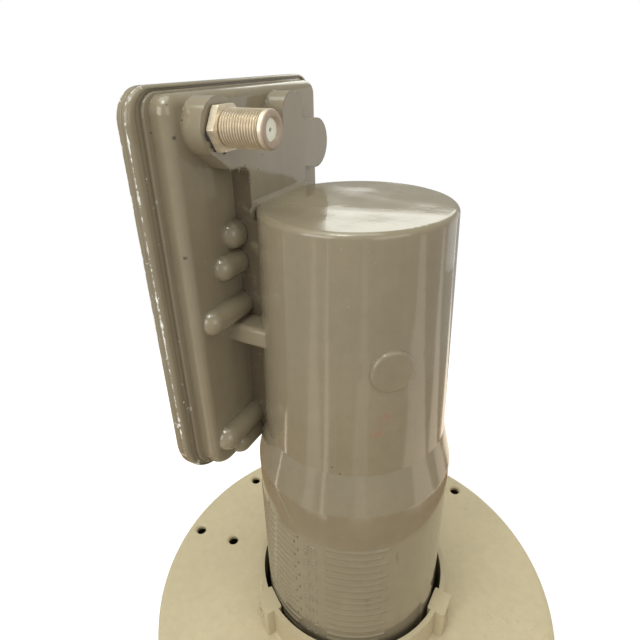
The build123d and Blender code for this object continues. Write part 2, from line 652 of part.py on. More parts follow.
def connector_contact():
    """Sprung socket with a solid tail that is soldered into the board."""
    body = port_turned([(BOARD_X - 0.8, 0), (BOARD_X - 0.8, CONTACT_TAIL_R), (PORT_TAIL_X, CONTACT_TAIL_R),
                        (PORT_TAIL_X, CONTACT_R), (INSULATOR_X - 1.0, CONTACT_R), (INSULATOR_X - 1.0, 0)])
    body -= port_turned([(INSULATOR_X - 10, 0), (INSULATOR_X - 10, CONTACT_HOLE_R),
                         (INSULATOR_X, CONTACT_HOLE_R), (INSULATOR_X, 0)])
    return body


def connector_seal():
    return port_turned([(PAD_X, PORT_HOLE_R), (PAD_X, SEAL_R), (HEX_X, SEAL_R), (HEX_X, PORT_HOLE_R)])


def save(name, *solids):
    shape = solids[0] if len(solids) == 1 else Compound(children=list(solids))
    export_step(shape, "parts/" + name + ".step")


save("scalar_ring", scalar_ring())
save("clamp_screws", *[clamp_screw(angle) for angle in CLAMP_ANGLES])
save("main_housing", main_housing())
save("feed_window", feed_window())
save("window_seal", window_seal())
save("box_cover", box_cover())
save("cover_seal", cover_seal())
save("cover_screws", *cover_screws())
save("circuit_board", circuit_board())
save("board_screws", *board_screws())
save("shield_can", shield_can())
save("transistors", *transistors())
save("capacitors", *capacitors())
save("chips", *chips())
save("dielectric_resonator", resonator())
save("voltage_regulator", voltage_regulator())
save("probe_near", probe(-1))
save("probe_far", probe(1))
save("sleeve_near", probe_sleeve(-1))
save("sleeve_far", probe_sleeve(1))
save("connector_body", connector_body())
save("connector_insulator", connector_insulator())
save("connector_contact", connector_contact())
save("connector_seal", connector_seal())
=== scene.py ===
import bpy
import numpy as np
from mathutils import Matrix, Vector


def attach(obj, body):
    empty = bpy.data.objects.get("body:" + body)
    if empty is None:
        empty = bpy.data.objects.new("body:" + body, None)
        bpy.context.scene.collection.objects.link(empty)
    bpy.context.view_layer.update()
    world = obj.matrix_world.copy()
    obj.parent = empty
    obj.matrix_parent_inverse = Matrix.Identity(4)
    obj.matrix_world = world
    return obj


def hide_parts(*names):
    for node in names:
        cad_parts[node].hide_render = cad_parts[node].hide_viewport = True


bl_info = {
    "name": "Satellite LNB look",
    "version": (1, 0, 0),
    "blender": (4, 5, 0),
    "location": "3D View > Sidebar > LNB",
    "description": "Surface pieces, materials, lights and camera for a satellite low-noise block",
    "category": "Object",
}

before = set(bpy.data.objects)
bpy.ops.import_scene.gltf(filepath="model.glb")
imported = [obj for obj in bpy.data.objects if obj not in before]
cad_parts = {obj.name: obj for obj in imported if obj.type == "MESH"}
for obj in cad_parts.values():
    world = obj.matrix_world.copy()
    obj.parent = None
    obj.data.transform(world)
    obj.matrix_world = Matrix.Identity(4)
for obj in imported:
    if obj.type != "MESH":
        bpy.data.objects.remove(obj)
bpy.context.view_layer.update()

# Places on the solids, in metres: the barrel's top, the neck, the port's axis and the flat that it is on
BARREL_TOP_Z = 0.1842
NECK_RADIUS = 0.0342
PORT_Y = -0.0258
PORT_Z = BARREL_TOP_Z + 0.0225
FLAT_X = -0.026

# Outline of the electronics box, seen along x
BOX_MIDDLE_Z = 0.1563
BOX_HALF_Y = 0.0437
BOX_HALF_Z = 0.0606

# Port: places along x and radii
PORT_TAIL_X = -0.0342
HEXAGON_BACK_X = -0.0255
HEXAGON_FRONT_X = HEXAGON_BACK_X + 0.0021
PORT_END_X = -0.0103
HEXAGON_APOTHEM = 0.0055
HEXAGON_CORNER = 0.0066
SHANK_RADIUS = 0.0043
CREST_RADIUS = 0.00476
BORE_RADIUS = 0.0028
SEAL_RADIUS = 0.0058

# Numbers on the neck: how many, step from one to the next, place of the column and width of a stroke
NUMBER_COUNT = 10
NUMBER_STEP = 2
HIGHEST_NUMBER_Z = 0.0764
NUMBER_PITCH = 0.00635
NUMBER_AZIMUTH = -94.0
STROKE_HALF_WIDTH = 0.00033

# Faces of the port and its insulator that meet at more than this, in radians, keep a sharp edge
SHARP_ANGLE = 0.6


# Numpy surfaces


def mesh_object(name, surface, body, material):
    """Makes an object at the origin from an (n, 3) array of points and an (m, 4) array of quads."""
    points, faces = surface
    mesh = bpy.data.meshes.new(name)
    mesh.from_pydata(points.tolist(), [], faces.tolist())
    mesh.polygons.foreach_set("use_smooth", np.full(len(mesh.polygons), True))
    mesh.materials.append(material)
    mesh.update()
    obj = bpy.data.objects.new(name, mesh)
    bpy.context.scene.collection.objects.link(obj)
    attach(obj, body)
    return obj


def grid_faces(rows, cols, wrap_rows, wrap_cols):
    """Quads of a rows by cols grid of points, joined round where a direction wraps."""
    i = np.arange(rows if wrap_rows else rows - 1)
    j = np.arange(cols if wrap_cols else cols - 1)
    i, j = np.meshgrid(i, j, indexing="ij")
    i2, j2 = (i + 1) % rows, (j + 1) % cols
    quads = np.stack([i * cols + j, i * cols + j2, i2 * cols + j2, i2 * cols + j], axis=-1)
    return quads.reshape(-1, 4)


def turned_surface(x, r, angle):
    """Closed surface round the port's axis, from grids of x and radius r whose columns are the angles a.

    Each point lies at (x, PORT_Y + r cos a, PORT_Z + r sin a).
    """
    points = np.stack([x, PORT_Y + r * np.cos(angle), PORT_Z + r * np.sin(angle)], axis=-1)
    return points.reshape(-1, 3), grid_faces(*x.shape, True, True)[:, ::-1]


def port_surface(pitch, depth):
    """Closed surface of the port: a path of x and radius is turned about the port's axis.

    Hexagon rows take the lesser of their radius and apothem / cos(angle from the nearest flat's middle).
    Thread rows lose depth * ((1 - c) / 2) ** 0.75 of their radius, where c is the cosine of
    2 pi x / pitch - angle. The thread fades in and out over half a turn, beside a root cut all round.
    """
    root = CREST_RADIUS - depth
    back, front, end = HEXAGON_BACK_X, HEXAGON_FRONT_X, PORT_END_X
    thread_from = front + 0.0003
    thread_to = end - 0.0019
    thread_x = np.linspace(thread_from, thread_to, 220)
    before = np.array([
        (PORT_TAIL_X, BORE_RADIUS), (PORT_TAIL_X, SHANK_RADIUS), (back, SHANK_RADIUS),
        (back, HEXAGON_CORNER - 0.0005), (back + 0.0002, HEXAGON_CORNER),
        (front - 0.0004, HEXAGON_CORNER), (front - 0.0001, HEXAGON_CORNER - 0.0004),
        (front, HEXAGON_CORNER - 0.0006), (front, 0.0045), (front + 0.0001, 0.00435), (front + 0.0002, root)])
    hexagon = slice(3, 8)
    after = np.array([
        (end - 0.0018, root), (end - 0.0017, 0.0046), (end - 0.0016, CREST_RADIUS),
        (end - 0.0007, CREST_RADIUS), (end - 0.0004, 0.00462), (end - 0.0001, 0.00432), (end, 0.0041),
        (end, 0.0033), (end - 0.0001, 0.0031), (end - 0.0003, 0.0029), (end - 0.0005, BORE_RADIUS)])
    x = np.concatenate([before[:, 0], thread_x, after[:, 0]])
    r = np.concatenate([before[:, 1], np.full(len(thread_x), CREST_RADIUS), after[:, 1]])
    angle = np.linspace(0, 2 * np.pi, 120, endpoint=False)
    x_grid = np.repeat(x[:, None], len(angle), axis=1)
    r_grid = np.repeat(r[:, None], len(angle), axis=1)
    flats = HEXAGON_APOTHEM / np.cos(np.mod(angle, np.pi / 3) - np.pi / 6)
    r_grid[hexagon] = np.minimum(r_grid[hexagon], flats[None, :])
    turns_in = (thread_x - thread_from) / pitch
    turns_left = (thread_to - thread_x) / pitch
    fade = np.clip(turns_in / 0.5, 0, 1) * np.clip(turns_left / 0.5, 0, 1)
    plain_root = 1 - np.clip(np.minimum(turns_in, turns_left) / 0.3, 0, 1)
    wave = np.cos(2 * np.pi * thread_x[:, None] / pitch - angle[None, :])
    groove = (0.5 - 0.5 * wave) ** 0.75
    cut = np.maximum(groove * fade[:, None], plain_root[:, None])
    thread = slice(len(before), len(before) + len(thread_x))
    r_grid[thread] = CREST_RADIUS - depth * cut
    return turned_surface(x_grid, r_grid, angle)


def insulator_surface():
    """Closed surface of the white insulator: a path of x and radius is turned about the port's axis."""
    back, front, hole, rim, inner, edge = PORT_TAIL_X, -0.0112, 0.0005, 0.00277, 0.00116, 0.0001
    recess = front - 0.0012
    path = np.array([
        (back, inner), (back, rim), (front - edge, rim), (front, rim - edge),
        (front, hole + edge), (front - edge, hole), (recess, hole), (recess, inner)])
    angle = np.linspace(0, 2 * np.pi, 72, endpoint=False)
    x_grid = np.repeat(path[:, :1], len(angle), axis=1)
    r_grid = np.repeat(path[:, 1:], len(angle), axis=1)
    return turned_surface(x_grid, r_grid, angle)


# Strokes of each digit, and the ends of each stroke in half heights of a digit
DIGITS = {
    "0": "abcdef", "1": "bc", "2": "abged", "3": "abgcd", "4": "fgbc",
    "5": "afgcd", "6": "afgedc", "7": "abc", "8": "abcdefg", "9": "abcdfg",
}
STROKES = {
    "a": ((0, 2), (1, 2)), "b": ((1, 1), (1, 2)), "c": ((1, 0), (1, 1)), "d": ((0, 0), (1, 0)),
    "e": ((0, 0), (0, 1)), "f": ((0, 1), (0, 2)), "g": ((0, 1), (1, 1)),
}


def number_strokes(first, height):
    """Start and end of each stroke as arc length round the neck and height, for a column of numbers."""
    advance = 0.95 * height
    strokes = []
    for i in range(NUMBER_COUNT):
        bottom = HIGHEST_NUMBER_Z - i * NUMBER_PITCH - height / 2
        for place, digit in enumerate(str(first + i * NUMBER_STEP)):
            corner = np.array([place * advance, bottom])
            for name in DIGITS[digit]:
                a, b = np.array(STROKES[name], float) * height / 2
                strokes.append((corner + a, corner + b))
    strokes = np.array(strokes)
    strokes[:, :, 0] += np.radians(NUMBER_AZIMUTH) * NECK_RADIUS
    return strokes


def ridge_surface(strokes, half_width, rise):
    """Rounded ridges on the neck, one for each stroke.

    Across a stroke, t runs from -1 to 1 and the ridge stands rise * sqrt(1 - t squared) off the neck.
    Through a rounded end, d runs from 0 to 1 and width and rise shrink as sqrt(1 - d squared).
    """
    sunk = 0.00005
    along = np.array([-0.5, -0.42, -0.2, 0, 1, 1.2, 1.42, 1.5])
    t = np.linspace(-1, 1, 9)
    a, b = strokes[:, 0], strokes[:, 1]
    length = np.linalg.norm(b - a, axis=1)[:, None, None]
    unit = (b - a)[:, None, :] / length
    side = np.stack([-unit[..., 1], unit[..., 0]], axis=-1)
    over = np.where(along < 0, along, np.where(along > 1, along - 1, 0))[None, :, None] * 2
    inner = np.clip(along, 0, 1)[None, :, None]
    taper = np.sqrt(np.clip(1 - over ** 2, 0, 1))
    centre = a[:, None, :] + unit * (inner * length + over * half_width)
    spot = centre[:, :, None, :] + side[:, :, None, :] * (taper * t * half_width)[..., None]
    rise_grid = rise * np.sqrt(np.clip(1 - t ** 2, 0, 1)) * taper - sunk
    radius = NECK_RADIUS + np.broadcast_to(rise_grid, spot.shape[:3])
    turn = spot[..., 0] / NECK_RADIUS
    points = np.stack([radius * np.cos(turn), radius * np.sin(turn), spot[..., 1]], axis=-1)
    one = grid_faces(len(along), len(t), False, False)
    first_points = np.arange(len(strokes)) * len(along) * len(t)
    faces = one[None] + first_points[:, None, None]
    return points.reshape(-1, 3), faces.reshape(-1, 4)


def flash_surface(path, x, width, seed, waves):
    """Thin fin along an edge of the machined flat or of the torn seal, ragged where waves are given.

    The path gives y and z along the edge, with the metal on its left. At fraction s of the path the fin
    stands out width * (0.35 + a sine of s for each wave) square to it, and it ends in points. Its section
    is a closed teardrop, about 0.2 mm thick, that starts 0.4 mm inside the metal and thins toward its lip.
    """
    half_thickness = 0.00016
    sunk = 0.0004
    behind = 0.00022
    rng = np.random.default_rng(seed)
    s = np.linspace(0, 1, 110)
    steps = np.linalg.norm(np.diff(path, axis=0), axis=1)
    at = np.concatenate([[0], np.cumsum(steps)]) / steps.sum()
    line = np.stack([np.interp(s, at, path[:, 0]), np.interp(s, at, path[:, 1])], axis=1)
    ahead = np.gradient(line, axis=0)
    ahead /= np.linalg.norm(ahead, axis=1)[:, None]
    wave = sum(rng.uniform(0.1, 0.22) * np.sin(2 * np.pi * (k * s + rng.uniform())) for k in waves)
    ends = np.sin(np.pi * np.clip(s, 0.004, 0.996)) ** 0.3
    reach = width * np.clip(0.35 + wave, 0.02, 1) * ends
    turn = np.linspace(0, 2 * np.pi, 12, endpoint=False)
    far = 0.5 - 0.5 * np.cos(turn)
    thick = half_thickness * np.sin(turn) * (1 - 0.8 * far)
    off = reach[:, None] * far[None, :] - sunk
    points = np.stack([
        np.broadcast_to(x - behind + thick, off.shape),
        line[:, :1] + off * ahead[:, 1:],
        line[:, 1:] - off * ahead[:, :1]], axis=-1)
    return points.reshape(-1, 3), grid_faces(len(s), len(turn), False, True)


# Shader building


class Value:
    """An output socket in a node tree; arithmetic on it adds Math nodes."""

    def __init__(self, tree, out):
        self.tree = tree
        self.out = out

    def _math(self, operation, *terms):
        return self.tree.add("Math", {"operation": operation}, list(terms))

    def __add__(self, other):
        return self._math("ADD", self, other)

    def __radd__(self, other):
        return self._math("ADD", other, self)

    def __sub__(self, other):
        return self._math("SUBTRACT", self, other)

    def __rsub__(self, other):
        return self._math("SUBTRACT", other, self)

    def __mul__(self, other):
        return self._math("MULTIPLY", self, other)

    def __rmul__(self, other):
        return self._math("MULTIPLY", other, self)

    def __abs__(self):
        return self._math("ABSOLUTE", self)

    def __gt__(self, other):
        return self._math("GREATER_THAN", self, other)

    def __lt__(self, other):
        return self._math("LESS_THAN", self, other)

    def least(self, other):
        return self._math("MINIMUM", self, other)

    def most(self, other):
        return self._math("MAXIMUM", self, other)

    def root(self):
        return self._math("SQRT", self)

    def fraction(self):
        return self._math("FRACT", self)

    def ramp(self, low, high):
        """0 below low, 1 above high, smooth between; low may be above high."""
        return self.tree.add("MapRange", {"interpolation_type": "SMOOTHSTEP"},
                             {"Value": self, "From Min": low, "From Max": high})


def distance(*parts):
    """Length of the vector that has the given parts."""
    return sum(part * part for part in parts).root()


class Tree:
    """The node tree of a material or of the world, with one method that adds every kind of node."""

    def __init__(self, owner):
        owner.use_nodes = True
        self.nodes = owner.node_tree.nodes
        self.links = owner.node_tree.links
        self.nodes.clear()

    def add(self, kind, settings, inputs, output=0):
        """Adds a node, applies its settings, fills its inputs with constants or links, returns an output."""
        node = self.nodes.new("ShaderNode" + kind)
        for key, value in settings.items():
            setattr(node, key, value)
        pairs = enumerate(inputs) if isinstance(inputs, list) else inputs.items()
        for key, value in pairs:
            if isinstance(value, Value):
                self.links.new(value.out, node.inputs[key])
            else:
                node.inputs[key].default_value = value
        return node if output is None else Value(self, node.outputs[output])


class Graph(Tree):
    """A new material's tree, with the place on the object and what most materials need."""

    def __init__(self, name):
        self.material = bpy.data.materials.new(name)
        super().__init__(self.material)
        self.place = self.add("TexCoord", {}, {}, "Object")
        split = self.add("SeparateXYZ", {}, {"Vector": self.place}, None)
        self.x, self.y, self.z = (Value(self, split.outputs[i]) for i in range(3))

    def noise(self, scale, detail=2.0, rough=0.5, place=None):
        """Cloudy noise from 0 to 1 whose largest features are about 1 / scale metres wide."""
        return self.add("TexNoise", {}, {"Vector": place or self.place, "Scale": scale, "Detail": detail,
                                         "Roughness": rough})

    def cells(self, scale):
        """Distance from the nearest of many scattered points, in units of 1 / scale metres."""
        return self.add("TexVoronoi", {}, {"Vector": self.place, "Scale": scale})

    def stretch(self, x, y, z):
        """The place on the object, times a scale for each direction."""
        return self.add("Mapping", {}, {"Vector": self.place, "Scale": (x, y, z)})

    def mix(self, factor, first, second):
        """The first colour where factor is 0 and the second where it is 1."""
        return self.add("Mix", {"data_type": "RGBA"}, {0: factor, 6: first, 7: second}, 2)

    def near(self, point, size):
        """1 at a point and 0 at size away from it."""
        return distance(self.x - point[0], self.y - point[1], self.z - point[2]).ramp(size, 0.0)

    def bump(self, height, size, strength, normal=None):
        """Normal that leans with a height, where height 1 stands for size metres."""
        inputs = {"Height": height, "Distance": size, "Strength": strength}
        if normal is not None:
            inputs["Normal"] = normal
        return self.add("Bump", {}, inputs)

    def finish(self, colour, rough, normal, metal=0.0, more=None):
        """Principled shader with the given surface values, and more constant sockets, as the material."""
        inputs = {"Base Color": colour, "Roughness": rough, "Metallic": metal, "Normal": normal}
        inputs.update(more or {})
        shader = self.add("BsdfPrincipled", {}, inputs)
        self.add("OutputMaterial", {}, {"Surface": shader}, None)
        return self.material


def rgb(colour, share=1.0):
    """A colour for a socket, with alpha, darker or lighter by share."""
    return (*(value * share for value in colour), 1.0)


# Materials

WHITE = (1.0, 1.0, 1.0)

# Colours of what lies on the enamel or shows through it, and of the painted shade in the pocket beside the
# flat and on the ring's collar
PIT = (0.03, 0.025, 0.018)
DUST = (0.45, 0.42, 0.34)
RED_SMEAR = (0.33, 0.1, 0.08)
DARK_SPOT = (0.04, 0.035, 0.03)
POCKET_SHADE = (0.055, 0.036, 0.022)
BARE_METAL = (0.82, 0.82, 0.8)
BARE_METAL_DULL = (0.5, 0.5, 0.48)
RING_GRIME_AND_SHADE = (0.3, 0.23, 0.13)
RING_SCUFF = (0.34, 0.28, 0.18)

# Middle and radius of each half of the reddish smear on the barrel
SMEAR = (((0.0196, -0.0234, 0.1303), 0.0035), ((0.0183, -0.0244, 0.1254), 0.003))

# y and z of the dark spots, which lie on the tray's face between two values of x
SPOTS = ((-0.0355, 0.2052), (-0.0369, 0.1745), (-0.0385, 0.1790))
SPOTS_X = (-0.034, -0.03)

# Pocket between the box and the machined flat, where shade is painted: its near side, back and top, and where
# its front steps
POCKET_Y = -0.0149
POCKET_BACK_X = -0.0325
POCKET_FRONT_X = -0.0263
POCKET_TOP_Z = 0.1975
POCKET_STEP_Z = 0.1828

# The enamel is chipped along two lines round the box, on the near side of its rim
CHIPPED_LINES_X = (-0.0394, -0.0421)
RIM_FRONT_X = -0.0378


def box_edge(g):
    """Signed distance from the box's rounded outline in the YZ plane, negative inside.

    The two lower corners have twice the radius of the upper ones.
    """
    corner = 0.008 + 0.008 * (g.z < BOX_MIDDLE_Z)
    y = (abs(g.y) - BOX_HALF_Y + corner).most(0.0)
    z = (abs(g.z - BOX_MIDDLE_Z) - BOX_HALF_Z + corner).most(0.0)
    return distance(y, z) - corner


def mottled(g, colour):
    """Colour and roughness of enamel that varies in clouds, fine grain and upright streaks."""
    cloud = g.noise(26.0, 3.0, 0.55)
    fine = g.noise(240.0, 4.0, 0.6)
    streak = g.noise(1.0, 3.0, 0.6, g.stretch(160.0, 160.0, 12.0))
    shade = 0.84 + cloud * 0.16 + fine * 0.08 + streak * 0.08
    paint = g.mix(shade.ramp(0.7, 1.25), rgb(colour, 0.55), rgb(colour, 1.22))
    return paint, 0.06 + cloud * 0.08 + fine * 0.05


def soiled_and_shaded(g, paint):
    """Paint with pits, dust, the reddish smear, the dark spots, and painted shade in the pocket beside the
    flat.
    """
    on_tube = g.x > -0.024
    pit = g.cells(330.0).ramp(0.13, 0.05) * (g.noise(60.0) > 0.64 + 0.05 * on_tube)
    paint = g.mix(pit * 0.75, paint, rgb(PIT))
    dust = (g.noise(1500.0, 2.0, 0.7) > 0.73) * (g.noise(40.0) > 0.5)
    paint = g.mix(dust * 0.5, paint, rgb(DUST))
    smear = sum(g.near(point, size) for point, size in SMEAR)
    smear = smear * g.noise(700.0, 3.0, 0.7).ramp(0.42, 0.62)
    paint = g.mix(smear * 0.55, paint, rgb(RED_SMEAR))
    wobble = g.noise(900.0) * 0.0006
    spots = sum((distance(g.y - y, g.z - z) + wobble).ramp(0.0011, 0.0004) for y, z in SPOTS)
    on_tray = (g.x > SPOTS_X[0]) * (g.x < SPOTS_X[1])
    paint = g.mix(spots * on_tray * 0.8, paint, rgb(DARK_SPOT))
    # Painted shade: a dark brown strip on the near side of the pocket beside the flat, in noisy patches.
    front = POCKET_FRONT_X + 0.0021 * (g.z < POCKET_STEP_Z)
    inside = (g.x < front) * (g.x > POCKET_BACK_X) * (g.z < POCKET_TOP_Z)
    pocket = abs(g.y - POCKET_Y).ramp(0.0007, 0.0003) * inside
    pocket = pocket * g.noise(190.0, 4.0, 0.65).ramp(0.2, 0.5)
    return g.mix(pocket * 0.62, paint, rgb(POCKET_SHADE))


def chipped(g, paint, rough, height):
    """Paint, roughness and height with enamel knocked off the near side of the box's rim."""
    edge = box_edge(g)
    gap = abs(g.x - CHIPPED_LINES_X[0]).least(abs(g.x - CHIPPED_LINES_X[1]))
    broad = g.noise(75.0, 2.0)
    ragged = g.noise(420.0, 5.0, 0.75) * 0.7 + broad * 0.3
    near_side = g.y.ramp(-0.030, -0.040) * (g.x < RIM_FRONT_X)
    kept = 0.50 - 0.06 * g.z.ramp(0.135, 0.165) + 0.03 * g.z.ramp(0.195, 0.205)
    worn = (gap - (ragged - kept) * 0.0032).ramp(0.0001, -0.0001) * edge.ramp(-0.0016, -0.0004)
    flakes = (g.noise(260.0, 4.0, 0.7) + broad * 0.4).ramp(0.85, 0.88) * edge.ramp(-0.0055, -0.002)
    worn = worn.most(flakes) * near_side
    bare = g.mix(g.noise(800.0, 3.0).ramp(0.35, 0.65), rgb(BARE_METAL), rgb(BARE_METAL_DULL))
    return g.mix(worn, paint, bare), rough + worn * 0.3, height - worn * 1.2


def enamel(name, colour, peel):
    """Glossy enamel with orange peel and soft waves over rounded edges, with dirt and painted shade, and
    chipped at the rim.
    """
    g = Graph(name)
    paint, rough = mottled(g, colour)
    paint = soiled_and_shaded(g, paint)
    height = g.noise(900.0, 2.0, 0.5) * peel + g.noise(150.0, 2.0) * peel * 2.5
    height = height + g.noise(1.0, 1.0, 0.5, g.stretch(45.0, 45.0, 14.0)) * 45.0
    paint, rough, height = chipped(g, paint, rough, height)
    soft = g.add("Bevel", {"samples": 4}, {"Radius": 0.0008})
    normal = g.bump(height, 0.0001, 0.22, soft)
    return g.finish(paint, rough, normal, more={"Coat Weight": 0.5, "Coat Roughness": 0.03, "IOR": 1.5})


def ring_paint(name, colour):
    """Semi-gloss cream enamel: cast texture, dirt and painted shade on the collar, scuffs, and painted shade
    on its underside.
    """
    collar_outside, collar_inside, plate_z = 0.0412, 0.0385, 0.0168
    g = Graph(name)
    cloud = g.noise(18.0, 3.0, 0.55)
    fine = g.noise(300.0, 4.0, 0.6)
    shade = cloud * 0.6 + fine * 0.4
    paint = g.mix(shade.ramp(0.3, 0.7), rgb(colour, 0.9), rgb(colour, 1.05))
    # Dirt and painted shade: the collar and its bore darken to brown in noisy patches.
    on_collar = distance(g.x, g.y).ramp(collar_outside, collar_inside)
    grime_and_shade = on_collar * g.noise(300.0, 4.0, 0.7).ramp(0.4, 0.65) * 0.2
    paint = g.mix(grime_and_shade, paint, rgb(RING_GRIME_AND_SHADE))
    scuff = (g.noise(500.0, 4.0, 0.75) + g.noise(30.0) * 0.35).ramp(0.83, 0.86)
    paint = g.mix(scuff * 0.5, paint, rgb(RING_SCUFF))
    # Painted shade: below the height plate_z the ring takes a darker copy of its colour.
    paint = g.mix((g.z < plate_z) * 0.35, paint, rgb(colour, 0.5))
    height = g.noise(700.0, 2.0) + g.noise(90.0) * 2.0
    return g.finish(paint, 0.34 + fine * 0.16, g.bump(height, 0.0001, 0.3), more={"IOR": 1.5})


def turned_metal(g, colour, rough, marks):
    """Tone, roughness and normal of plating over turned metal, which tarnishes to marks of its colour."""
    turned = g.noise(1.0, 2.0, 0.6, g.stretch(3000.0, 200.0, 200.0))
    tarnish = g.noise(420.0, 4.0, 0.65)
    tone = g.mix(tarnish.ramp(0.35, 0.7), rgb(colour), rgb(colour, marks))
    return tone, rough + tarnish * 0.15, g.bump(turned, 0.00001, 0.12)


def plating(name, colour, rough, marks):
    """Bright plating over turned metal, with a tarnish."""
    g = Graph(name)
    return g.finish(*turned_metal(g, colour, rough, marks), metal=1.0)


def port_plating(name, colour):
    """The port's plating, with brown in the thread's roots and on the ring round its mouth."""
    brown, mouth_brown = (0.36, 0.26, 0.17), (0.42, 0.32, 0.27)
    g = Graph(name)
    tone, rough, normal = turned_metal(g, colour, 0.33, 0.8)
    radius = distance(g.y - PORT_Y, g.z - PORT_Z)
    root = radius.ramp(0.00474, 0.00440) * radius.ramp(0.0042, 0.0043)
    tone = g.mix(root * 0.75, tone, rgb(brown))
    mouth = g.x.ramp(PORT_END_X - 0.0012, PORT_END_X - 0.0001)
    tone = g.mix(mouth * 0.75, tone, rgb(mouth_brown))
    return g.finish(tone, rough + mouth * 0.2, normal, metal=0.72)


def plastic(name, colour, rough, grain):
    """Moulded plastic, rubber or ceramic: faint flow mottling and a fine surface grain."""
    g = Graph(name)
    speck = g.noise(1800.0, 3.0, 0.7)
    flow = g.noise(150.0, 3.0, 0.6) * 0.7 + speck * 0.3
    tone = g.mix(flow.ramp(0.3, 0.7), rgb(colour, 0.88), rgb(colour))
    return g.finish(tone, rough + speck * 0.1, g.bump(speck, 0.00005, grain))


def board_material(name):
    """Green solder mask over copper runs that follow a jittered grid."""
    mask_green, run_green = (0.012, 0.11, 0.035), (0.03, 0.2, 0.06)
    g = Graph(name)
    run_y = abs((g.y * 330.0 + g.noise(45.0) * 2.0).fraction() - 0.5)
    run_z = abs((g.z * 190.0 + g.noise(38.0) * 2.0).fraction() - 0.5)
    run = run_y.ramp(0.12, 0.06).most(run_z.ramp(0.1, 0.05)) * (g.noise(55.0) > 0.47)
    tone = g.mix(run, rgb(mask_green), rgb(run_green))
    return g.finish(tone, 0.3 + g.noise(900.0) * 0.1, g.bump(run, 0.00004, 0.6))


def floor_material(colour):
    """White paper that fades to nothing, so that no horizon shows, and is a dark table to reflections."""
    table, fade_from, fade_to = (0.25, 0.165, 0.09), 0.1, 0.34
    g = Graph("floor_paper")
    tone = g.mix(g.noise(700.0, 3.0), rgb(colour, 0.985), rgb(colour))
    seen = g.add("LightPath", {}, {}, "Is Camera Ray")
    tone = g.mix(seen, rgb(table), tone)
    paper = g.add("BsdfDiffuse", {}, {"Color": tone, "Roughness": 0.5})
    glow = g.add("Emission", {}, {"Color": rgb(WHITE), "Strength": 0.12 * seen})
    paper = g.add("AddShader", {}, [paper, glow])
    clear = g.add("BsdfTransparent", {}, {})
    away = distance(g.x, g.y).ramp(fade_from, fade_to)
    shader = g.add("MixShader", {}, {0: away, 1: paper, 2: clear})
    g.add("OutputMaterial", {}, {"Surface": shader}, None)
    return g.material


# Settings


def length_setting(name, text, default, low, high):
    return bpy.props.FloatProperty(name=name, description=text, default=default, min=low, max=high,
                                   unit="LENGTH", precision=5)


def colour_setting(name, text, default):
    return bpy.props.FloatVectorProperty(name=name, description=text, default=default, size=3,
                                         min=0, max=1, subtype="COLOR")


def power_setting(name, text, default):
    return bpy.props.FloatProperty(name=name, description=text, default=default, min=0, unit="POWER")


class LNB_PG_surface(bpy.types.PropertyGroup):
    """Sizes of the pieces that are built here"""

    thread_pitch: length_setting("Thread pitch", "Distance between crests of the port's thread",
                                 0.00079375, 0.0004, 0.002)
    thread_depth: length_setting("Thread depth", "Crest to root of the port's thread",
                                 0.00043, 0.0001, 0.001)
    digit_height: length_setting("Number height", "Height of the raised numbers on the neck",
                                 0.0030, 0.001, 0.005)
    digit_rise: length_setting("Number rise", "How far the numbers stand off the neck",
                               0.0002, 0.00005, 0.0003)
    first_number: bpy.props.IntProperty(name="First number", description="Number beside the top line",
                                        default=30, min=0, max=90)
    flash_width: length_setting("Flash width", "Widest reach of the casting flash", 0.0016, 0.0002, 0.003)
    lip_reach: length_setting("Seal lip", "Widest reach of the torn seal under the hexagon",
                              0.0022, 0.0002, 0.003)


class LNB_PG_colours(bpy.types.PropertyGroup):
    """Colours of the painted and plated surfaces"""

    housing: colour_setting("Housing", "Enamel of the feed tube and the box", (0.224, 0.190, 0.129))
    ring: colour_setting("Ring", "Enamel of the scalar ring", (0.45, 0.385, 0.25))
    plating: colour_setting("Port plating", "Plated metal of the port", (0.84, 0.74, 0.57))
    floor: colour_setting("Floor", "Paper under the object", (0.92, 0.94, 0.97))


class LNB_PG_stage(bpy.types.PropertyGroup):
    """Camera and lights"""

    lens: bpy.props.FloatProperty(name="Lens", description="Focal length on a 36 mm sensor",
                                  default=27.95, min=10, max=200, unit="CAMERA")
    key_power: power_setting("Overhead", "Power of the large light overhead", 2.8)
    side_power: power_setting("Left side", "Power of the light at the camera's left", 2.4)
    back_power: power_setting("Window", "Power of the window behind the object", 0.8)
    card_power: power_setting("Floor cards", "Power of a floor card with a share of 1", 0.1)
    room: bpy.props.FloatProperty(name="Room", description="Strength of the even room light",
                                  default=0.86, min=0, max=2)


# Stage


def aim(obj, place, target):
    """Puts an object at a place with its -Z axis toward a target."""
    obj.location = place
    obj.rotation_mode = "QUATERNION"
    obj.rotation_quaternion = (Vector(target) - Vector(place)).to_track_quat("-Z", "Y")


def around(turn, radius, height):
    """Point at an azimuth in degrees, a radius and a height."""
    return Vector((radius * np.cos(np.radians(turn)), radius * np.sin(np.radians(turn)), height))


MIDDLE = (0.0, 0.0, 0.12)
BARREL_TOP = (0.0, 0.0, 0.18)

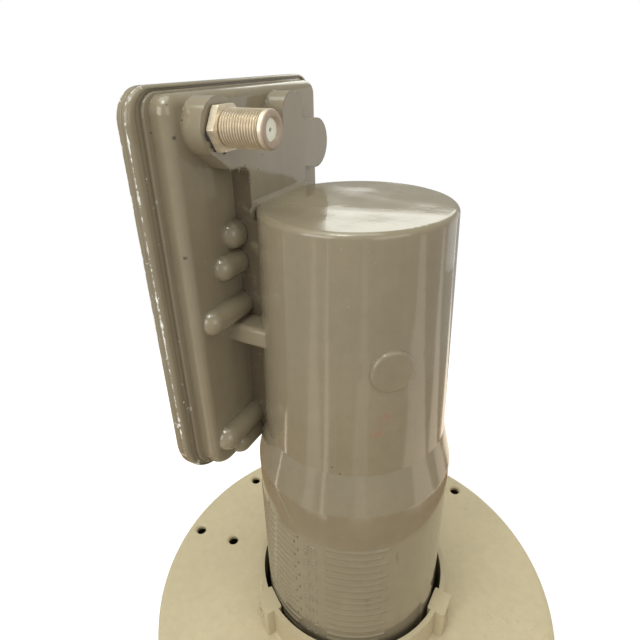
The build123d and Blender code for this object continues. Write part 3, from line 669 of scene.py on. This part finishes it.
# Lights: name, place, target, width, height, setting of the power, share of it, colour
LIGHTS = (
    ("overhead", (-0.1, -0.1, 0.9), MIDDLE, 0.7, 0.7, "key_power", 1.0, (0.94, 1.0, 0.95)),
    ("lamp", (-0.05, -0.3, 0.85), MIDDLE, 0.2, 0.2, "key_power", 0.45, (0.97, 1.0, 0.92)),
    ("left_side", (-0.25, -0.75, 0.45), MIDDLE, 0.5, 0.5, "side_power", 1.0, (0.98, 0.98, 0.96)),
    ("window", around(103.0, 0.9, 0.59), BARREL_TOP, 0.5, 0.28, "back_power", 1.0, (0.98, 1.0, 0.93)),
    ("right_side", around(-25.0, 0.8, 0.4), MIDDLE, 0.5, 0.5, "side_power", 0.4, (0.98, 0.98, 0.96)),
    ("pale_wall", around(64.0, 0.9, 0.08), MIDDLE, 0.5, 0.5, "back_power", 0.45, (0.95, 0.98, 1.0)),
)

# Pale cards that lie on the table and show as upright bands in the enamel: azimuth, width, share of power
CARDS = (
    (-151.0, 0.008, 0.32),
    (-111.0, 0.050, 0.6),
    (-96.0, 0.018, 0.4),
    (-58.0, 0.045, 0.35),
    (8.0, 0.090, 1.3),
    (40.0, 0.050, 0.6),
    (72.0, 0.070, 1.3),
)
CARD_LENGTH = 0.64
CARD_RADIUS = 0.43
CARD_Z = 0.002
CARD_COLOUR = (1.0, 0.88, 0.74)

# Room light, and how much of it mirror rays see
ROOM_COLOUR = (1.0, 0.975, 0.9)
MIRROR_SHARE = 0.45

# Camera: its place, the photo's rightward and downward directions, and the shift of the picture
CAMERA_PLACE = (0.0567, -0.1296, 0.2217)
CAMERA_RIGHT = Vector((0.8804, 0.4736, -0.0241))
CAMERA_DOWN = Vector((0.1911, -0.3991, -0.8968))
CAMERA_SHIFT = (0.010, -0.0269)
SENSOR_WIDTH = 36.0

FLOOR_HALF = 0.8


def area_light(name, place, target, size_x, size_y, power, colour):
    """A rectangular light that the camera doesn't see."""
    light = bpy.data.lights.new(name, "AREA")
    light.shape = "RECTANGLE"
    light.size = size_x
    light.size_y = size_y
    light.energy = power
    light.color = colour
    obj = bpy.data.objects.new(name, light)
    obj.visible_camera = False
    bpy.context.scene.collection.objects.link(obj)
    aim(obj, place, target)
    return obj


def floor_sheet(colour):
    """The sheet of paper under the object."""
    corners = [(-FLOOR_HALF, -FLOOR_HALF, 0), (FLOOR_HALF, -FLOOR_HALF, 0),
               (FLOOR_HALF, FLOOR_HALF, 0), (-FLOOR_HALF, FLOOR_HALF, 0)]
    mesh = bpy.data.meshes.new("floor")
    mesh.from_pydata(corners, [], [(0, 1, 2, 3)])
    mesh.materials.append(floor_material(colour))
    floor = bpy.data.objects.new("floor", mesh)
    bpy.context.scene.collection.objects.link(floor)


def lights(settings):
    """The lights round the object and the cards on the table."""
    for name, place, target, size_x, size_y, setting, share, colour in LIGHTS:
        area_light(name, place, target, size_x, size_y, getattr(settings, setting) * share, colour)
    for turn, width, share in CARDS:
        place = around(turn, CARD_RADIUS, CARD_Z)
        above = place + Vector((0, 0, 1))
        power = settings.card_power * share
        card = area_light("floor_card", place, above, width, CARD_LENGTH, power, CARD_COLOUR)
        card.rotation_mode = "XYZ"
        card.rotation_euler = (np.pi, 0, np.radians(turn + 90))


def room_light(strength):
    """Even room light, seen as white by the camera and as a darker room by mirror rays."""
    world = bpy.data.worlds.new("room")
    bpy.context.scene.world = world
    tree = Tree(world)
    mirrored = tree.add("LightPath", {}, {}, "Is Glossy Ray")
    level = tree.add("MapRange", {}, {"Value": mirrored, "To Min": strength,
                                      "To Max": strength * MIRROR_SHARE})
    room = tree.add("Background", {}, {"Color": rgb(ROOM_COLOUR), "Strength": level})
    white = tree.add("Background", {}, {"Color": rgb(WHITE)})
    seen = tree.add("LightPath", {}, {}, "Is Camera Ray")
    shader = tree.add("MixShader", {}, {0: seen, 1: room, 2: white})
    tree.add("OutputWorld", {}, {"Surface": shader}, None)


def camera_view(lens):
    """The camera at the place that the photo was taken from."""
    camera = bpy.data.cameras.new("camera")
    camera.lens = lens
    camera.sensor_width = SENSOR_WIDTH
    camera.shift_x, camera.shift_y = CAMERA_SHIFT
    camera.clip_start = 0.005
    camera.clip_end = 20.0
    holder = bpy.data.objects.new("camera", camera)
    bpy.context.scene.collection.objects.link(holder)
    back = -CAMERA_RIGHT.cross(CAMERA_DOWN)
    turn = Matrix((CAMERA_RIGHT, -CAMERA_DOWN, back)).transposed()
    holder.matrix_world = Matrix.Translation(CAMERA_PLACE) @ turn.to_4x4()
    bpy.context.scene.camera = holder


# Operators


class LNB_OT_finishes(bpy.types.Operator):
    """Give every solid its material"""

    bl_idname = "lnb.finishes"
    bl_label = "Materials"

    def execute(self, context):
        colours = context.scene.lnb_colours
        housing = tuple(colours.housing)
        steel = plating("zinc_steel", (0.6, 0.6, 0.58), 0.3, 0.8)
        silver = plating("silvered_wire", (0.8, 0.76, 0.66), 0.25, 0.7)
        white = plastic("white_plastic", (0.72, 0.72, 0.62), 0.38, 0.2)
        black = plastic("moulded_black", (0.03, 0.03, 0.032), 0.45, 0.4)
        rubber = plastic("seal_rubber", (0.018, 0.018, 0.018), 0.6, 0.5)
        ceramic = plastic("fired_ceramic", (0.5, 0.4, 0.26), 0.5, 0.4)
        chosen = {
            "main_housing": enamel("housing_enamel", housing, 1.0),
            "box_cover": enamel("cover_enamel", housing, 0.7),
            "scalar_ring": ring_paint("ring_enamel", tuple(colours.ring)),
            "clamp_screws": steel, "cover_screws": steel, "board_screws": steel,
            "shield_can": plating("tinned_sheet", (0.7, 0.7, 0.69), 0.32, 0.8),
            "connector_contact": plating("gold_flash", (0.83, 0.62, 0.28), 0.25, 0.75),
            "probe_near": silver, "probe_far": silver,
            "feed_window": white, "sleeve_near": white, "sleeve_far": white,
            "connector_insulator": plastic("insulator_white", (0.68, 0.69, 0.59), 0.32, 0.15),
            "window_seal": rubber, "cover_seal": rubber, "connector_seal": rubber,
            "transistors": black, "capacitors": black, "voltage_regulator": black,
            "chips": ceramic, "dielectric_resonator": ceramic,
            "circuit_board": board_material("board_green"),
            "connector_body": steel,
        }
        missing = set(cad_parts) - set(chosen)
        if missing:
            raise RuntimeError("no material for " + ", ".join(sorted(missing)))
        for name, material in chosen.items():
            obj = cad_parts[name]
            obj.data.materials.clear()
            obj.data.materials.append(material)
        return {"FINISHED"}


class LNB_OT_port(bpy.types.Operator):
    """Build the threaded port and its insulator in place of the plain ones, and the torn lip of its seal"""

    bl_idname = "lnb.port"
    bl_label = "Port with thread"

    def execute(self, context):
        sizes = context.scene.lnb_surface
        surface = port_surface(sizes.thread_pitch, sizes.thread_depth)
        material = port_plating("port_plating", tuple(context.scene.lnb_colours.plating))
        obj = mesh_object("port_threaded_body", surface, "lnb", material)
        obj.data.set_sharp_from_angle(angle=SHARP_ANGLE)
        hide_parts("connector_body")
        material = bpy.data.materials["insulator_white"]
        disc = mesh_object("insulator_disc", insulator_surface(), "lnb", material)
        disc.data.set_sharp_from_angle(angle=SHARP_ANGLE)
        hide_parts("connector_insulator")
        turn = np.radians(np.linspace(168, 288, 40))
        arc = np.stack([PORT_Y + SEAL_RADIUS * np.cos(turn), PORT_Z + SEAL_RADIUS * np.sin(turn)], axis=1)
        surface = flash_surface(arc, FLAT_X + 0.00048, sizes.lip_reach, 3, (1, 3, 4, 7))
        mesh_object("torn_seal_lip", surface, "lnb", bpy.data.materials["seal_rubber"])
        return {"FINISHED"}


class LNB_OT_numbers(bpy.types.Operator):
    """Build the raised numbers beside the scale on the neck"""

    bl_idname = "lnb.numbers"
    bl_label = "Scale numbers"

    def execute(self, context):
        sizes = context.scene.lnb_surface
        strokes = number_strokes(sizes.first_number, sizes.digit_height)
        surface = ridge_surface(strokes, STROKE_HALF_WIDTH, sizes.digit_rise)
        mesh_object("scale_numbers", surface, "lnb", bpy.data.materials["housing_enamel"])
        return {"FINISHED"}


class LNB_OT_flash(bpy.types.Operator):
    """Build the casting flash left at the foot of the machined flat: a ragged edge and one smooth lobe"""

    bl_idname = "lnb.flash"
    bl_label = "Casting flash"

    def execute(self, context):
        width = context.scene.lnb_surface.flash_width
        turn = np.radians(np.linspace(90, 0, 7))
        corner = np.stack([-0.0179 + 0.003 * np.cos(turn), 0.1923 + 0.003 * np.sin(turn)], axis=1)
        flat_edge = np.concatenate([[(-0.0262, 0.1979), (-0.0233, 0.1958)], corner, [(-0.0149, 0.1885)]])
        barrel_edge = np.array([(-0.0142, 0.1850), (-0.0145, 0.1834), (-0.0150, 0.1800)])
        ragged = flash_surface(flat_edge, FLAT_X, width, 4, (2, 5, 9, 14, 23, 31))
        lobe = flash_surface(barrel_edge, FLAT_X + 0.0012, width * 6.2, 9, ())
        for name, surface in (("casting_flash_edge", ragged), ("casting_flash_nub", lobe)):
            mesh_object(name, surface, "lnb", bpy.data.materials["housing_enamel"])
        return {"FINISHED"}


class LNB_OT_stage(bpy.types.Operator):
    """Build the floor, the lights and the camera"""

    bl_idname = "lnb.stage"
    bl_label = "Stage"

    def execute(self, context):
        scene = context.scene
        floor_sheet(tuple(scene.lnb_colours.floor))
        lights(scene.lnb_stage)
        room_light(scene.lnb_stage.room)
        camera_view(scene.lnb_stage.lens)
        scene.view_settings.view_transform = "Standard"
        return {"FINISHED"}


class LNB_PT_panel(bpy.types.Panel):
    """Lists the build steps and their settings"""

    bl_label = "Satellite LNB"
    bl_idname = "LNB_PT_panel"
    bl_space_type = "VIEW_3D"
    bl_region_type = "UI"
    bl_category = "LNB"

    def draw(self, context):
        layout = self.layout
        for group in GROUPS:
            values = getattr(context.scene, group)
            for key in values.__annotations__:
                layout.prop(values, key)
        for step in STEPS:
            layout.operator(step.bl_idname)


GROUPS = {"lnb_surface": LNB_PG_surface, "lnb_colours": LNB_PG_colours, "lnb_stage": LNB_PG_stage}
STEPS = (LNB_OT_finishes, LNB_OT_port, LNB_OT_numbers, LNB_OT_flash, LNB_OT_stage)


def register():
    for cls in (*GROUPS.values(), *STEPS, LNB_PT_panel):
        bpy.utils.register_class(cls)
    for name, cls in GROUPS.items():
        setattr(bpy.types.Scene, name, bpy.props.PointerProperty(type=cls))


def unregister():
    for name in GROUPS:
        delattr(bpy.types.Scene, name)
    for cls in (LNB_PT_panel, *STEPS, *GROUPS.values()):
        bpy.utils.unregister_class(cls)


def main():
    register()
    bpy.ops.lnb.finishes()
    bpy.ops.lnb.port()
    bpy.ops.lnb.numbers()
    bpy.ops.lnb.flash()
    bpy.ops.lnb.stage()


if __name__ == "__main__":
    main()
